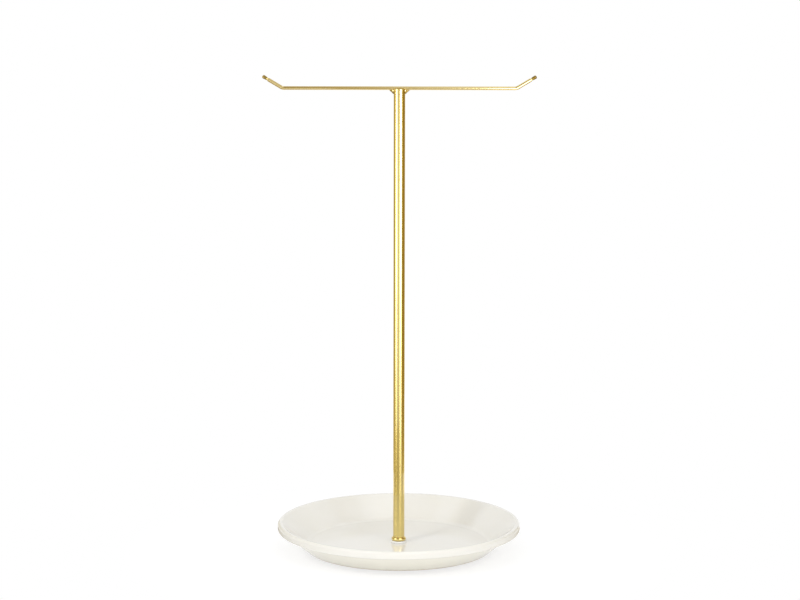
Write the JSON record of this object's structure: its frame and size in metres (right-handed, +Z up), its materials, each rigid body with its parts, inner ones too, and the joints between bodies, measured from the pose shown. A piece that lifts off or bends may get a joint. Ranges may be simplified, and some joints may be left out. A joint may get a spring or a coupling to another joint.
{
  "type": "jewellery holder",
  "caption": "T-bar jewellery stand: a slim brass post and a crossbar with upturned ends, standing in a round glazed ceramic dish that holds rings and earrings.",
  "frame": {"origin": "on the table, on the axis of the post, level with the undersides of the four pads", "axes": "+Z up along the post, +X to the right along the crossbar, +Y to the back"},
  "size_m": [0.1884, 0.1704, 0.3349],
  "materials": {
    "glazed_stoneware": "gloss ivory glaze, bare clay underneath",
    "satin_brass_tube": "bright satin, drawn lengthwise",
    "turned_brass": "turned and polished",
    "brass_rod": "bright satin",
    "brazed_brass": "brazed, filed and polished",
    "white_nylon": "smooth",
    "zinc_plated_steel": "zinc plated",
    "black_rubber": "matt",
    "clear_silicone": "milky, slightly glossy"
  },
  "bodies": {
    "root": {"dish": "glazed_stoneware", "post_tube": "satin_brass_tube", "post_foot": "turned_brass", "seat_washer": "white_nylon", "crossbar": "brass_rod", "bar_tip_left": "turned_brass", "bar_tip_right": "turned_brass", "gusset_left": "brazed_brass", "gusset_right": "brazed_brass", "top_plug": "turned_brass", "clamp_screw": "zinc_plated_steel", "rubber_washer": "black_rubber", "foot_pad_back_left": "clear_silicone", "foot_pad_back_right": "clear_silicone", "foot_pad_front_left": "clear_silicone", "foot_pad_front_right": "clear_silicone"}
  },
  "joints": []
}
